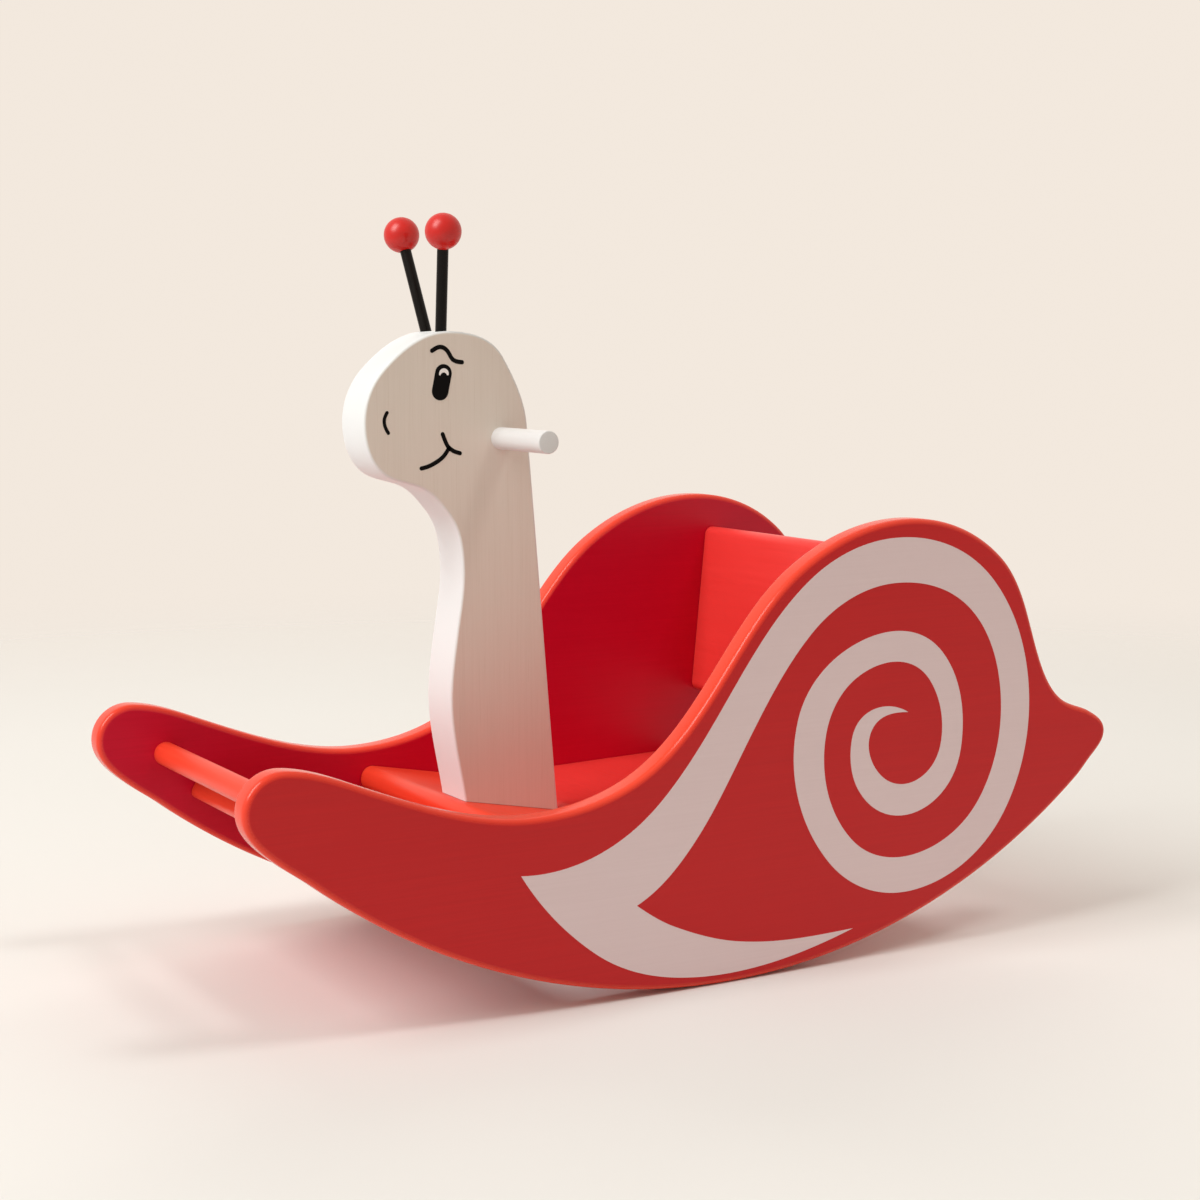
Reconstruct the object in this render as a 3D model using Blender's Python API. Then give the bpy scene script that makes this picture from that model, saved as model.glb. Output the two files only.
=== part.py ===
"""Rocking snail: two rocker panels joined by boards and a bar, with an upright plank for neck and head.

+X points forward, +Y to the toy's left and +Z up. The origin is on the floor, under the middle of the
overall length and width. Lengths are in metres, angles in degrees.
"""
import math

import bmesh
import bpy
from mathutils import Matrix, Vector

# Running gap left between pieces that touch
CLEARANCE = 0.0003

# Side panels: a rocking edge on one circle below, the snail's outline above
PANEL_THICKNESS = 0.024
PANEL_ROUNDING = 0.0055
PANEL_SPACING = 0.338
ROCKER_RADIUS = 0.638
ROCKER_LOWEST_X = -0.007
ROCKER_FRONT_X = 0.386
ROCKER_REAR_X = -0.409
NOSE_REACH = 0.059
NOSE_RISE = 0.064
DIP_X = 0.180
DIP_Z = 0.170
SLOPE_FOOT_X = 0.0735
SLOPE_FOOT_Z = 0.2005
SLOPE_X = 0.000
SLOPE_Z = 0.277
HUMP_X = -0.2005
HUMP_Z = 0.403
TAIL_REACH = 0.036
TAIL_RISE = 0.0445

# Boards across the toy
BOARD_THICKNESS = 0.024
NECK_MARGIN = 0.0138
BASE_TILT = 10.7
BASE_ROUNDING = 0.011
SEAT_DEPTH = 0.240
SEAT_TOP_Z = 0.129
SEAT_TILT = -1.5
SEAT_ROUNDING = 0.010
SEAT_GAP = 0.009
BACKREST_GAP = 0.062
BACKREST_DROP = 0.034
BACKREST_LEAN = 5.7
BACKREST_BEHIND_SEAT = 0.007
BACKREST_ROUNDING = 0.008
FOOT_BOARD_DEPTH = 0.180
FOOT_BOARD_TILT = 28.0
FOOT_BOARD_BACK = 0.097
FOOT_BOARD_DROP = 0.036
FOOT_BOARD_ROUNDING = 0.006

# Round bar between the two noses
BAR_RADIUS = 0.011
BAR_SEAT = 0.010
BAR_BACK = 0.064
BAR_DROP = 0.016

# Neck and head plank, measured from the front corner of its foot
NECK_FOOT_X = 0.1685
NECK_FOOT_Z = 0.151
NECK_FOOT_LENGTH = 0.098
HEAD_THICKNESS = 0.048
HEAD_ROUNDING = 0.0025
CROWN_X = 0.0135
CROWN_Z = 0.421

# Handle through the head
HANDLE_RADIUS = 0.010
HANDLE_LENGTH = 0.224
HANDLE_ROUNDING = 0.0012
HANDLE_X = -0.0385
HANDLE_Z = 0.326

# Antennae on the crown
ROD_RADIUS = 0.005
ROD_SEAT = 0.020
ROD_SPREAD = 0.030
ROD_FORWARD = 0.0025
ROD_LEAN_FORWARD = 6.8
ROD_LEAN_OUT = 17.5
ANTENNA_LENGTH = 0.090
BALL_RADIUS = 0.016
BALL_SEAT = 0.012

# Wooden dowels in the ends of the boards
DOWEL_RADIUS = 0.004
DOWEL_LENGTH = 0.032
DOWEL_IN_PANEL = 0.012
DOWEL_INSET = 0.024
DOWEL_CHAMFER = 0.0008

# Countersunk screws from the base board up into the neck
SCREW_RADIUS = 0.003
SCREW_LENGTH = 0.060
SCREW_HEAD_RADIUS = 0.006
SCREW_HEAD_HEIGHT = 0.004
SCREW_SPACING = 0.050

# How finely round forms are divided
ROCKER_FACET = 4.0
TURN_PER_STEP = 7.0
SHORTEST_CURVE_STEPS = 3
ROUNDING_STEPS = 3
CORNER_STEPS = 4
THICK_ROD_SIDES = 32
THIN_ROD_SIDES = 16
DOWEL_SIDES = 12
BALL_SEGMENTS = 24
BALL_RINGS = 12
OVERSHOOT = 0.010

RED_PAINT = ("red paint", (0.60, 0.022, 0.012), 0.42, 0.0)
WHITE_STAIN = ("white stain", (0.78, 0.75, 0.72), 0.50, 0.0)
BLACK_PAINT = ("black paint", (0.012, 0.012, 0.013), 0.38, 0.0)
RED_LACQUER = ("red lacquer", (0.55, 0.020, 0.014), 0.30, 0.0)
BARE_BEECH = ("bare beech", (0.55, 0.36, 0.21), 0.60, 0.0)
ZINC_STEEL = ("zinc steel", (0.55, 0.56, 0.58), 0.35, 1.0)

SIDES = (("left", 1), ("right", -1))


def clear_scene():
    """Removes every object so that the model is built in an empty scene."""
    for item in list(bpy.data.objects):
        bpy.data.objects.remove(item, do_unlink=True)


def material(finish):
    """Returns the material of a finish: its name, colour, roughness and metallic value."""
    name, colour, roughness, metallic = finish
    found = bpy.data.materials.get(name)
    if found:
        return found
    made = bpy.data.materials.new(name)
    made.use_nodes = True
    shader = made.node_tree.nodes["Principled BSDF"]
    shader.inputs["Base Color"].default_value = (*colour, 1.0)
    shader.inputs["Roughness"].default_value = roughness
    shader.inputs["Metallic"].default_value = metallic
    made.diffuse_color = (*colour, 1.0)
    return made


def add_part(name, mesh_builder, finish, location, rotation=(0.0, 0.0, 0.0)):
    """Makes one named piece of the toy from its bmesh and places it under the toy's empty."""
    mesh = bpy.data.meshes.new(name)
    bmesh.ops.recalc_face_normals(mesh_builder, faces=mesh_builder.faces)
    mesh_builder.to_mesh(mesh)
    mesh_builder.free()
    mesh.materials.append(material(finish))
    mesh.shade_smooth()
    mesh.set_sharp_from_angle(angle=math.radians(35))
    part = bpy.data.objects.new(name, mesh)
    part.location = location
    part.rotation_euler = rotation
    part.parent = bpy.data.objects["rocking_snail"]
    bpy.context.collection.objects.link(part)
    return part


def add_cutter(name, mesh_builder):
    """Makes a hidden cutter in world coordinates from its bmesh."""
    cutter = add_part(name, mesh_builder, BARE_BEECH, (0.0, 0.0, 0.0))
    cutter.hide_render = True
    cutter.display_type = "WIRE"
    return cutter


def round_edges(part, width, steps):
    """Rounds the edges whose bevel weight is set."""
    rounding = part.modifiers.new("rounding", "BEVEL")
    rounding.limit_method = "WEIGHT"
    rounding.width = width
    rounding.segments = steps
    rounding.use_clamp_overlap = False


def round_ends(part, width, steps):
    """Rounds or chamfers the end edges of a rod."""
    rounding = part.modifiers.new("rounding", "BEVEL")
    rounding.limit_method = "ANGLE"
    rounding.angle_limit = math.radians(60)
    rounding.width = width
    rounding.segments = steps


def cut(part, cutter):
    """Cuts a piece with a cutter."""
    hole = part.modifiers.new("holes", "BOOLEAN")
    hole.operation = "DIFFERENCE"
    hole.solver = "EXACT"
    hole.object = cutter


def rocker_height(x):
    """Height of the rocking edge above the floor at a distance forward of the origin."""
    run = x - ROCKER_LOWEST_X
    return ROCKER_RADIUS - math.sqrt(ROCKER_RADIUS ** 2 - run ** 2)


def rocker_heading(x):
    """Direction of the rocking edge there, in degrees above level."""
    return math.degrees(math.asin((x - ROCKER_LOWEST_X) / ROCKER_RADIUS))


def rocking_edge():
    """Points of the rocking edge, rear to front.

    The edge is a row of short flats that touch the circle at their middles, with the middle of one flat
    at the lowest point, and its two ends lie on the circle.
    """
    corner_radius = ROCKER_RADIUS / math.cos(math.radians(ROCKER_FACET / 2))
    points = [(ROCKER_REAR_X, rocker_height(ROCKER_REAR_X))]
    rear_count = math.floor(-rocker_heading(ROCKER_REAR_X) / ROCKER_FACET)
    front_count = math.floor(rocker_heading(ROCKER_FRONT_X) / ROCKER_FACET)
    for index in range(-rear_count, front_count):
        angle = math.radians((index + 0.5) * ROCKER_FACET)
        along = ROCKER_LOWEST_X + corner_radius * math.sin(angle)
        points.append((along, ROCKER_RADIUS - corner_radius * math.cos(angle)))
    points.append((ROCKER_FRONT_X, rocker_height(ROCKER_FRONT_X)))
    return points


def smooth_run(anchors):
    """Points of a smooth line through anchors, each a place forward and up with the line's heading.

    Between two anchors the line is a cubic curve whose handles make it a circular arc where the
    headings allow one. The last anchor is left out.
    """
    points = []
    for (x0, z0, heading0), (x1, z1, heading1) in zip(anchors, anchors[1:]):
        turn = abs((heading1 - heading0 + 180) % 360 - 180)
        chord = math.hypot(x1 - x0, z1 - z0)
        handle = chord / (3 * math.cos(math.radians(turn) / 4) ** 2)
        start = Vector((x0, z0))
        end = Vector((x1, z1))
        leave = Vector((math.cos(math.radians(heading0)), math.sin(math.radians(heading0))))
        arrive = Vector((math.cos(math.radians(heading1)), math.sin(math.radians(heading1))))
        controls = (start, start + handle * leave, end - handle * arrive, end)
        steps = max(SHORTEST_CURVE_STEPS, math.ceil(turn / TURN_PER_STEP))
        for step in range(steps):
            share = step / steps
            weights = ((1 - share) ** 3, 3 * share * (1 - share) ** 2, 3 * share ** 2 * (1 - share), share ** 3)
            point = sum((weight * control for weight, control in zip(weights, controls)), Vector((0.0, 0.0)))
            points.append((point.x, point.y))
    return points


def nose():
    """Front tip of a side panel."""
    return ROCKER_FRONT_X + NOSE_REACH, rocker_height(ROCKER_FRONT_X) + NOSE_RISE


def panel_outline():
    """Outline of a side panel: the rocking edge, then nose, dip, slope, hump and tail."""
    nose_x, nose_z = nose()
    tail_x = ROCKER_REAR_X - TAIL_REACH
    tail_z = rocker_height(ROCKER_REAR_X) + TAIL_RISE
    upper_edge = (
        (ROCKER_FRONT_X, rocker_height(ROCKER_FRONT_X), rocker_heading(ROCKER_FRONT_X)),
        (nose_x - 0.030, nose_z - 0.043, 38.3),
        (nose_x, nose_z, 91.2),
        (nose_x - 0.036, nose_z + 0.032, 184.3),
        (nose_x - 0.107, nose_z + 0.010, 201.8),
        (DIP_X, DIP_Z, 178.2),
        (SLOPE_FOOT_X, SLOPE_FOOT_Z, 146.5),
        (SLOPE_X, SLOPE_Z, 127.0),
        (HUMP_X + 0.1225, HUMP_Z - 0.0405, 145.0),
        (HUMP_X, HUMP_Z, 180.0),
        (HUMP_X - 0.1105, HUMP_Z - 0.041, 222.4),
        (HUMP_X - 0.1445, HUMP_Z - 0.0985, 250.3),
        (HUMP_X - 0.161, HUMP_Z - 0.143, 246.5),
        (tail_x + 0.0487, tail_z + 0.0306, 205.2),
        (tail_x + 0.0195, tail_z + 0.0197, 207.4),
        (tail_x, tail_z, 266.1),
        (tail_x + 0.019, tail_z - 0.028, 314.9),
        (ROCKER_REAR_X, rocker_height(ROCKER_REAR_X), 360 + rocker_heading(ROCKER_REAR_X)),
    )
    return smooth_run(upper_edge) + rocking_edge()[:-1]


def neck_outline():
    """Outline of the neck and head plank, from the front corner of its foot round to the rear corner."""
    foot_rear_x = -NECK_FOOT_LENGTH * math.cos(math.radians(BASE_TILT))
    foot_rear_z = -NECK_FOOT_LENGTH * math.sin(math.radians(BASE_TILT))
    edge = (
        (0.0, 0.0, 81.0),
        (0.0135, 0.0975, 91.5),
        (0.007, 0.154, 98.5),
        (0.0005, 0.2085, 89.0),
        (0.014, 0.2595, 51.0),
        (0.042, 0.2845, 21.5),
        (CROWN_X + 0.065, CROWN_Z - 0.1225, 40.5),
        (CROWN_X + 0.0815, CROWN_Z - 0.080, 89.5),
        (CROWN_X + 0.0625, CROWN_Z - 0.033, 134.0),
        (CROWN_X, CROWN_Z, 179.5),
        (CROWN_X - 0.055, CROWN_Z - 0.0225, 238.5),
        (CROWN_X - 0.079, CROWN_Z - 0.083, 264.8),
        (foot_rear_x, foot_rear_z, 264.8),
    )
    return smooth_run(edge) + [(foot_rear_x, foot_rear_z)]


def slab(outline, thickness, square_foot=False):
    """A flat piece with an outline in X and Z, centred on Y.

    Its outline edges are marked for rounding. A square foot leaves out the edge that closes the outline.
    """
    builder = bmesh.new()
    weight = builder.edges.layers.float.new("bevel_weight_edge")
    corners = [builder.verts.new((x, -thickness / 2, z)) for x, z in outline]
    front = builder.faces.new(corners)
    swept = bmesh.ops.extrude_face_region(builder, geom=[front], use_keep_orig=True)
    far_corners = [item for item in swept["geom"] if isinstance(item, bmesh.types.BMVert)]
    bmesh.ops.translate(builder, vec=(0.0, thickness, 0.0), verts=far_corners)
    near_count = len(outline)
    builder.verts.index_update()
    for edge in builder.edges:
        first, second = sorted(vert.index for vert in edge.verts)
        crosses = first < near_count <= second
        closes_outline = second - first == near_count - 1
        edge[weight] = 0.0 if crosses or (square_foot and closes_outline) else 1.0
    return builder


def board(depth, length, rounding):
    """A board lying flat: depth along X, length along Y, its two long edges rounded."""
    corner_x = depth / 2 - rounding
    corner_z = BOARD_THICKNESS / 2 - rounding
    outline = []
    for sign_x, sign_z, first_angle in ((1, -1, -90), (1, 1, 0), (-1, 1, 90), (-1, -1, 180)):
        for step in range(CORNER_STEPS + 1):
            angle = math.radians(first_angle + 90 * step / CORNER_STEPS)
            outline.append((sign_x * corner_x + rounding * math.cos(angle),
                            sign_z * corner_z + rounding * math.sin(angle)))
    return slab(outline, length)


def rod(radius, length, sides):
    """A round rod along Z, centred on the origin."""
    builder = bmesh.new()
    bmesh.ops.create_cone(builder, cap_ends=True, segments=sides, radius1=radius, radius2=radius, depth=length)
    return builder


def turned(profile, sides):
    """A solid turned about Z from a profile of radius and height that starts and ends on the axis."""
    builder = bmesh.new()
    points = [builder.verts.new((radius, 0.0, height)) for radius, height in profile]
    edges = [builder.edges.new(pair) for pair in zip(points, points[1:])]
    bmesh.ops.spin(builder, geom=points + edges, axis=(0, 0, 1), cent=(0, 0, 0), steps=sides,
                   angle=2 * math.pi, use_merge=False)
    bmesh.ops.remove_doubles(builder, verts=builder.verts, dist=1e-6)
    return builder


def joined(builders_and_places):
    """One bmesh from several, each moved to its place."""
    whole = bmesh.new()
    for builder, place in builders_and_places:
        bmesh.ops.transform(builder, matrix=place, verts=builder.verts)
        bmesh.ops.recalc_face_normals(builder, faces=builder.faces)
        piece = bpy.data.meshes.new("piece")
        builder.to_mesh(piece)
        builder.free()
        whole.from_mesh(piece)
        bpy.data.meshes.remove(piece)
    return whole


def along_board(tilt):
    """Unit directions of a tilted board in X and Z: towards its front edge, and out of its top face."""
    angle = math.radians(tilt)
    return Vector((math.cos(angle), math.sin(angle))), Vector((-math.sin(angle), math.cos(angle)))


def base_board_place():
    """Middle, depth and tilt of the board under the neck: its top meets the neck's foot."""
    forward, out = along_board(BASE_TILT)
    depth = NECK_FOOT_LENGTH + 2 * NECK_MARGIN
    foot_middle = Vector((NECK_FOOT_X, NECK_FOOT_Z)) - NECK_FOOT_LENGTH / 2 * forward
    return foot_middle - (BOARD_THICKNESS / 2 + CLEARANCE) * out, depth, BASE_TILT


def base_board_rear_x():
    """Rearmost place of the board under the neck."""
    middle, depth, tilt = base_board_place()
    forward, out = along_board(tilt)
    return (middle - depth / 2 * forward).x + (BOARD_THICKNESS / 2 * out).x


def seat_place():
    """Middle, depth and tilt of the seat: a gap behind the base board."""
    forward, out = along_board(SEAT_TILT)
    front_top = Vector((base_board_rear_x() - SEAT_GAP, SEAT_TOP_Z))
    return front_top - SEAT_DEPTH / 2 * forward - BOARD_THICKNESS / 2 * out, SEAT_DEPTH, SEAT_TILT


def seat_rear_top():
    """Upper rear corner of the seat."""
    middle, depth, tilt = seat_place()
    forward, out = along_board(tilt)
    return middle - depth / 2 * forward + BOARD_THICKNESS / 2 * out


def backrest_place():
    """Middle, height and tilt of the backrest: it stands just behind the seat and above it, below the humps."""
    rise, back = along_board(90 + BACKREST_LEAN)
    corner = seat_rear_top()
    bottom_z = corner.y + BACKREST_GAP
    height = (HUMP_Z - BACKREST_DROP - bottom_z) / rise.y
    front_foot = Vector((corner.x - BACKREST_BEHIND_SEAT, bottom_z))
    return front_foot + height / 2 * rise + BOARD_THICKNESS / 2 * back, height, 90 + BACKREST_LEAN


def foot_board_place():
    """Middle, depth and tilt of the foot board: its upper front corner lies behind the bar."""
    forward, out = along_board(FOOT_BOARD_TILT)
    nose_x, nose_z = nose()
    front_top = Vector((nose_x - FOOT_BOARD_BACK, nose_z - FOOT_BOARD_DROP))
    middle = front_top - FOOT_BOARD_DEPTH / 2 * forward - BOARD_THICKNESS / 2 * out
    return middle, FOOT_BOARD_DEPTH, FOOT_BOARD_TILT


def boards():
    """Every board: its name, place and rounding."""
    return (
        ("seat_board", seat_place(), SEAT_ROUNDING),
        ("base_board", base_board_place(), BASE_ROUNDING),
        ("backrest_board", backrest_place(), BACKREST_ROUNDING),
        ("foot_board", foot_board_place(), FOOT_BOARD_ROUNDING),
    )


def dowel_places():
    """Name and middle of every dowel: two in each end of each board."""
    reach = PANEL_SPACING / 2 + DOWEL_IN_PANEL - DOWEL_LENGTH / 2
    places = []
    for name, (middle, depth, tilt), _ in boards():
        forward, _ = along_board(tilt)
        for end, step in (("front", 1), ("rear", -1)):
            spot = middle + step * (depth / 2 - DOWEL_INSET) * forward
            for side, sign in SIDES:
                places.append((f"{name}_dowel_{end}_{side}", (spot.x, sign * reach, spot.y)))
    return places


def bar_place():
    """Middle of the round bar."""
    nose_x, nose_z = nose()
    return nose_x - BAR_BACK, 0.0, nose_z - BAR_DROP


def handle_place():
    """Middle of the handle."""
    return NECK_FOOT_X + HANDLE_X, 0.0, NECK_FOOT_Z + HANDLE_Z


def rod_direction(sign):
    """Direction of an antenna rod, leaning forward and outward."""
    forward = math.tan(math.radians(ROD_LEAN_FORWARD))
    outward = math.tan(math.radians(ROD_LEAN_OUT))
    return Vector((forward, sign * outward, 1.0)).normalized()


def rod_root(sign):
    """Place where an antenna rod leaves the crown."""
    return Vector((NECK_FOOT_X + CROWN_X + ROD_FORWARD, sign * ROD_SPREAD / 2, NECK_FOOT_Z + CROWN_Z))


def rod_length():
    """Whole length of an antenna rod, with the ends inside head and ball."""
    return ROD_SEAT + ANTENNA_LENGTH - BALL_RADIUS + BALL_SEAT


def rod_middle(sign):
    """Middle of an antenna rod."""
    return rod_root(sign) + (rod_length() / 2 - ROD_SEAT) * rod_direction(sign)


def ball_place(sign):
    """Middle of an antenna ball."""
    return rod_root(sign) + ANTENNA_LENGTH * rod_direction(sign)


def ball_profile():
    """Half section of an antenna ball with the blind hole for its rod, which enters from below."""
    hole_radius = ROD_RADIUS + CLEARANCE
    hole_end = BALL_SEAT - BALL_RADIUS + CLEARANCE
    mouth_angle = math.asin(hole_radius / BALL_RADIUS)
    profile = [(0.0, hole_end), (hole_radius, hole_end)]
    for step in range(BALL_RINGS):
        angle = mouth_angle + (math.pi - mouth_angle) * step / BALL_RINGS
        profile.append((BALL_RADIUS * math.sin(angle), -BALL_RADIUS * math.cos(angle)))
    return profile + [(0.0, BALL_RADIUS)]


def turn_to(direction):
    """Rotation that turns +Z to a direction."""
    return Vector((0.0, 0.0, 1.0)).rotation_difference(direction)


def screw_places():
    """Lowest point of each neck screw, flush with the underside of the base board."""
    middle, _, tilt = base_board_place()
    forward, out = along_board(tilt)
    underside = middle - BOARD_THICKNESS / 2 * out
    spots = (underside + side * SCREW_SPACING / 2 * forward for side in (1, -1))
    return [(spot.x, 0.0, spot.y) for spot in spots]


def screw_profile(gap):
    """Half section of a countersunk screw, head down, grown all round by a gap."""
    head = SCREW_HEAD_RADIUS + gap
    shank = SCREW_RADIUS + gap
    bottom = -OVERSHOOT if gap else CLEARANCE
    rim = [(0.0, bottom), (head, bottom)]
    if gap:
        rim.append((head, 0.0))
    return rim + [(shank, SCREW_HEAD_HEIGHT), (shank, SCREW_LENGTH - SCREW_RADIUS), (0.0, SCREW_LENGTH + gap)]


def hole(radius, length, sides, middle, rotation):
    """A cutter rod with the clearance added all round."""
    place = Matrix.LocRotScale(Vector(middle), rotation, None)
    return rod(radius + CLEARANCE, length + 2 * CLEARANCE, sides), place


def add_panel_cutter():
    """Holes for the dowels and the round bar."""
    sideways = turn_to(Vector((0.0, 1.0, 0.0)))
    holes = [hole(DOWEL_RADIUS, DOWEL_LENGTH, DOWEL_SIDES, middle, sideways) for _, middle in dowel_places()]
    holes.append(hole(BAR_RADIUS, PANEL_SPACING + 2 * BAR_SEAT, THICK_ROD_SIDES, bar_place(), sideways))
    return add_cutter("board_and_bar_holes", joined(holes))


def add_head_cutter():
    """Holes for the handle and the antenna rods."""
    sideways = turn_to(Vector((0.0, 1.0, 0.0)))
    holes = [hole(HANDLE_RADIUS, HEAD_THICKNESS + 2 * OVERSHOOT, THICK_ROD_SIDES, handle_place(), sideways)]
    for _, sign in SIDES:
        lean = turn_to(rod_direction(sign))
        holes.append(hole(ROD_RADIUS, rod_length(), THIN_ROD_SIDES, rod_middle(sign), lean))
    return add_cutter("handle_and_antenna_holes", joined(holes))


def add_screw_cutter():
    """Countersunk holes for the neck screws."""
    lean = Matrix.Rotation(math.radians(-BASE_TILT), 4, "Y")
    holes = [(turned(screw_profile(CLEARANCE), THIN_ROD_SIDES), Matrix.Translation(spot) @ lean)
             for spot in screw_places()]
    return add_cutter("screw_holes", joined(holes))


def add_side_panel(side, sign, holes):
    """One rocker panel with its rounded rim."""
    place = (0.0, sign * (PANEL_SPACING + PANEL_THICKNESS) / 2, 0.0)
    panel = add_part(f"{side}_side_panel", slab(panel_outline(), PANEL_THICKNESS), RED_PAINT, place)
    round_edges(panel, PANEL_ROUNDING, ROUNDING_STEPS)
    cut(panel, holes)


def add_board(name, place, rounding, cutters):
    """One board between the panels."""
    middle, depth, tilt = place
    length = PANEL_SPACING - 2 * CLEARANCE
    plank = add_part(name, board(depth, length, rounding), RED_PAINT, (middle.x, 0.0, middle.y),
                     (0.0, math.radians(-tilt), 0.0))
    for cutter in cutters:
        cut(plank, cutter)


def add_neck(cutters):
    """The upright plank that is neck and head, cut at its foot to stand on the sloping base board."""
    neck = add_part("neck_and_head", slab(neck_outline(), HEAD_THICKNESS, square_foot=True), WHITE_STAIN,
                    (NECK_FOOT_X, 0.0, NECK_FOOT_Z))
    round_edges(neck, HEAD_ROUNDING, ROUNDING_STEPS)
    for cutter in cutters:
        cut(neck, cutter)


def add_front_bar():
    """The round bar, seated in a blind hole in each panel."""
    bar = rod(BAR_RADIUS, PANEL_SPACING + 2 * BAR_SEAT, THICK_ROD_SIDES)
    add_part("front_bar", bar, RED_PAINT, bar_place(), (math.radians(90), 0.0, 0.0))


def add_handle():
    """The round handle that passes through the head."""
    handle = add_part("handle", rod(HANDLE_RADIUS, HANDLE_LENGTH, THICK_ROD_SIDES), WHITE_STAIN,
                      handle_place(), (math.radians(90), 0.0, 0.0))
    round_ends(handle, HANDLE_ROUNDING, 2)


def add_antenna(side, sign):
    """One antenna: a leaning rod with a ball on its end."""
    lean = turn_to(rod_direction(sign))
    add_part(f"{side}_antenna_rod", rod(ROD_RADIUS, rod_length(), THIN_ROD_SIDES), BLACK_PAINT,
             rod_middle(sign), lean.to_euler())
    add_part(f"{side}_antenna_ball", turned(ball_profile(), BALL_SEGMENTS), RED_LACQUER, ball_place(sign),
             lean.to_euler())


def add_dowels():
    """Every hidden dowel between a board and a panel."""
    for name, middle in dowel_places():
        dowel = add_part(name, rod(DOWEL_RADIUS, DOWEL_LENGTH, DOWEL_SIDES), BARE_BEECH, middle,
                         (math.radians(90), 0.0, 0.0))
        round_ends(dowel, DOWEL_CHAMFER, 1)


def add_screws():
    """The countersunk screws that hold the neck to the base board."""
    for number, spot in enumerate(screw_places(), start=1):
        add_part(f"neck_screw_{number}", turned(screw_profile(0.0), THIN_ROD_SIDES), ZINC_STEEL, spot,
                 (0.0, math.radians(-BASE_TILT), 0.0))


def main():
    """Builds the whole toy."""
    clear_scene()
    toy = bpy.data.objects.new("rocking_snail", None)
    bpy.context.collection.objects.link(toy)
    panel_cutter = add_panel_cutter()
    head_cutter = add_head_cutter()
    screw_cutter = add_screw_cutter()
    for side, sign in SIDES:
        add_side_panel(side, sign, panel_cutter)
        add_antenna(side, sign)
    for name, place, rounding in boards():
        cutters = [panel_cutter, screw_cutter] if name == "base_board" else [panel_cutter]
        add_board(name, place, rounding, cutters)
    add_neck([head_cutter, screw_cutter])
    add_front_bar()
    add_handle()
    add_dowels()
    add_screws()


main()
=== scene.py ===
"""Looks of the rocking snail toy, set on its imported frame.

Metres, as in the frame: X runs to the nose, Y to the toy's left, Z up, and the floor is at Z = 0.
Every wooden piece that shows is a surface worked out on a grid. The dowels and screws inside keep
their own solids.
"""

import math

import bpy
import numpy as np
from mathutils import Matrix, Vector


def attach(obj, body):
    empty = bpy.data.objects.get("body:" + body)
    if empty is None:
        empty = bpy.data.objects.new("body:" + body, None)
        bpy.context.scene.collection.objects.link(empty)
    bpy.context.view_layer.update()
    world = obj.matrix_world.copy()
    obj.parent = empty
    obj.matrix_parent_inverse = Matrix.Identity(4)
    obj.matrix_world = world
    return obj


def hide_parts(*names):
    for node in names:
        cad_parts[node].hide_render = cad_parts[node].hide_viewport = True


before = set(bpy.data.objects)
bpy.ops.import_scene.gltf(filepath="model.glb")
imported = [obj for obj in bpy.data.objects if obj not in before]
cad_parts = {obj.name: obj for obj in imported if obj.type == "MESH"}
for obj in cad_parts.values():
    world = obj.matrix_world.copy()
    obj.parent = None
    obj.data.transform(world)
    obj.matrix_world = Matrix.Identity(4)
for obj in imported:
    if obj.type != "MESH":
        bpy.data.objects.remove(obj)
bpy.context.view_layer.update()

MM = 0.001

# Side panels
PANEL_INNER_Y = 0.169
PANEL_OUTER_Y = 0.193
PANEL_ROUNDING = 0.0055
ROCKER_RADIUS = 0.638
ROCKER_LOWEST_X = -0.007
ROCKER_FRONT_X = 0.386
ROCKER_REAR_X = -0.409
NOSE_REACH = 0.059
NOSE_RISE = 0.064
DIP = (0.180, 0.170)
SLOPE_FOOT = (0.0735, 0.2005)
SLOPE = (0.000, 0.277)
HUMP = (-0.2005, 0.403)
TAIL_REACH = 0.036
TAIL_RISE = 0.0445

# Boards between the panels: middle X and Z, depth, tilt in degrees, rounding of the long edges
BOARD_THICKNESS = 0.024
BOARD_LENGTH = 0.3374
BOARD_END_ROUNDING = 0.0006
BOARDS = {
    "seat_board": (-0.070573, 0.120145, 0.2400, -1.5, 0.010),
    "base_board": (0.122636, 0.129816, 0.1256, 10.7, 0.011),
    "backrest_board": (-0.217729, 0.281949, 0.172571, 95.7, 0.008),
    "foot_board": (0.274168, 0.110564, 0.1800, 28.0, 0.006),
}

# Neck and head
NECK_FOOT = (0.1685, 0.151)
NECK_FOOT_LENGTH = 0.098
NECK_FOOT_TILT = 10.7
NECK_HEIGHT = 0.215
HEAD_THICKNESS = 0.048
HEAD_ROUNDING = 0.0025
CROWN = (0.0135, 0.421)

# Round wood: the front bar, the handle, the antenna rods and balls
BAR_PLACE = (0.381, 0.0, 0.183412)
BAR_RADIUS = 0.011
BAR_LENGTH = 0.358
BAR_ROUNDING = 0.0006
HANDLE_PLACE = (0.130, 0.0, 0.477)
HANDLE_RADIUS = 0.010
HANDLE_LENGTH = 0.224
HANDLE_ROUNDING = 0.0012
ROD_ROOT = (0.1845, 0.015, 0.572)
ROD_DIRECTION = (0.112996, 0.298780, 0.947609)
ROD_RADIUS = 0.005
ROD_SEAT = 0.020
ROD_LENGTH = 0.106
ROD_ROUNDING = 0.0004
BALL_DISTANCE = 0.090
BALL_RADIUS = 0.0159
BALL_SEAT = 0.012
BALL_HOLE_RADIUS = 0.0053

# Printed colour reaches this far out of the wood and into it
PRINT_LIFT = 0.00015
PRINT_SINK = 0.0001
GLINT_LIFT = 0.0001

SIDES = (("left", 1), ("right", -1))

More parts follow.
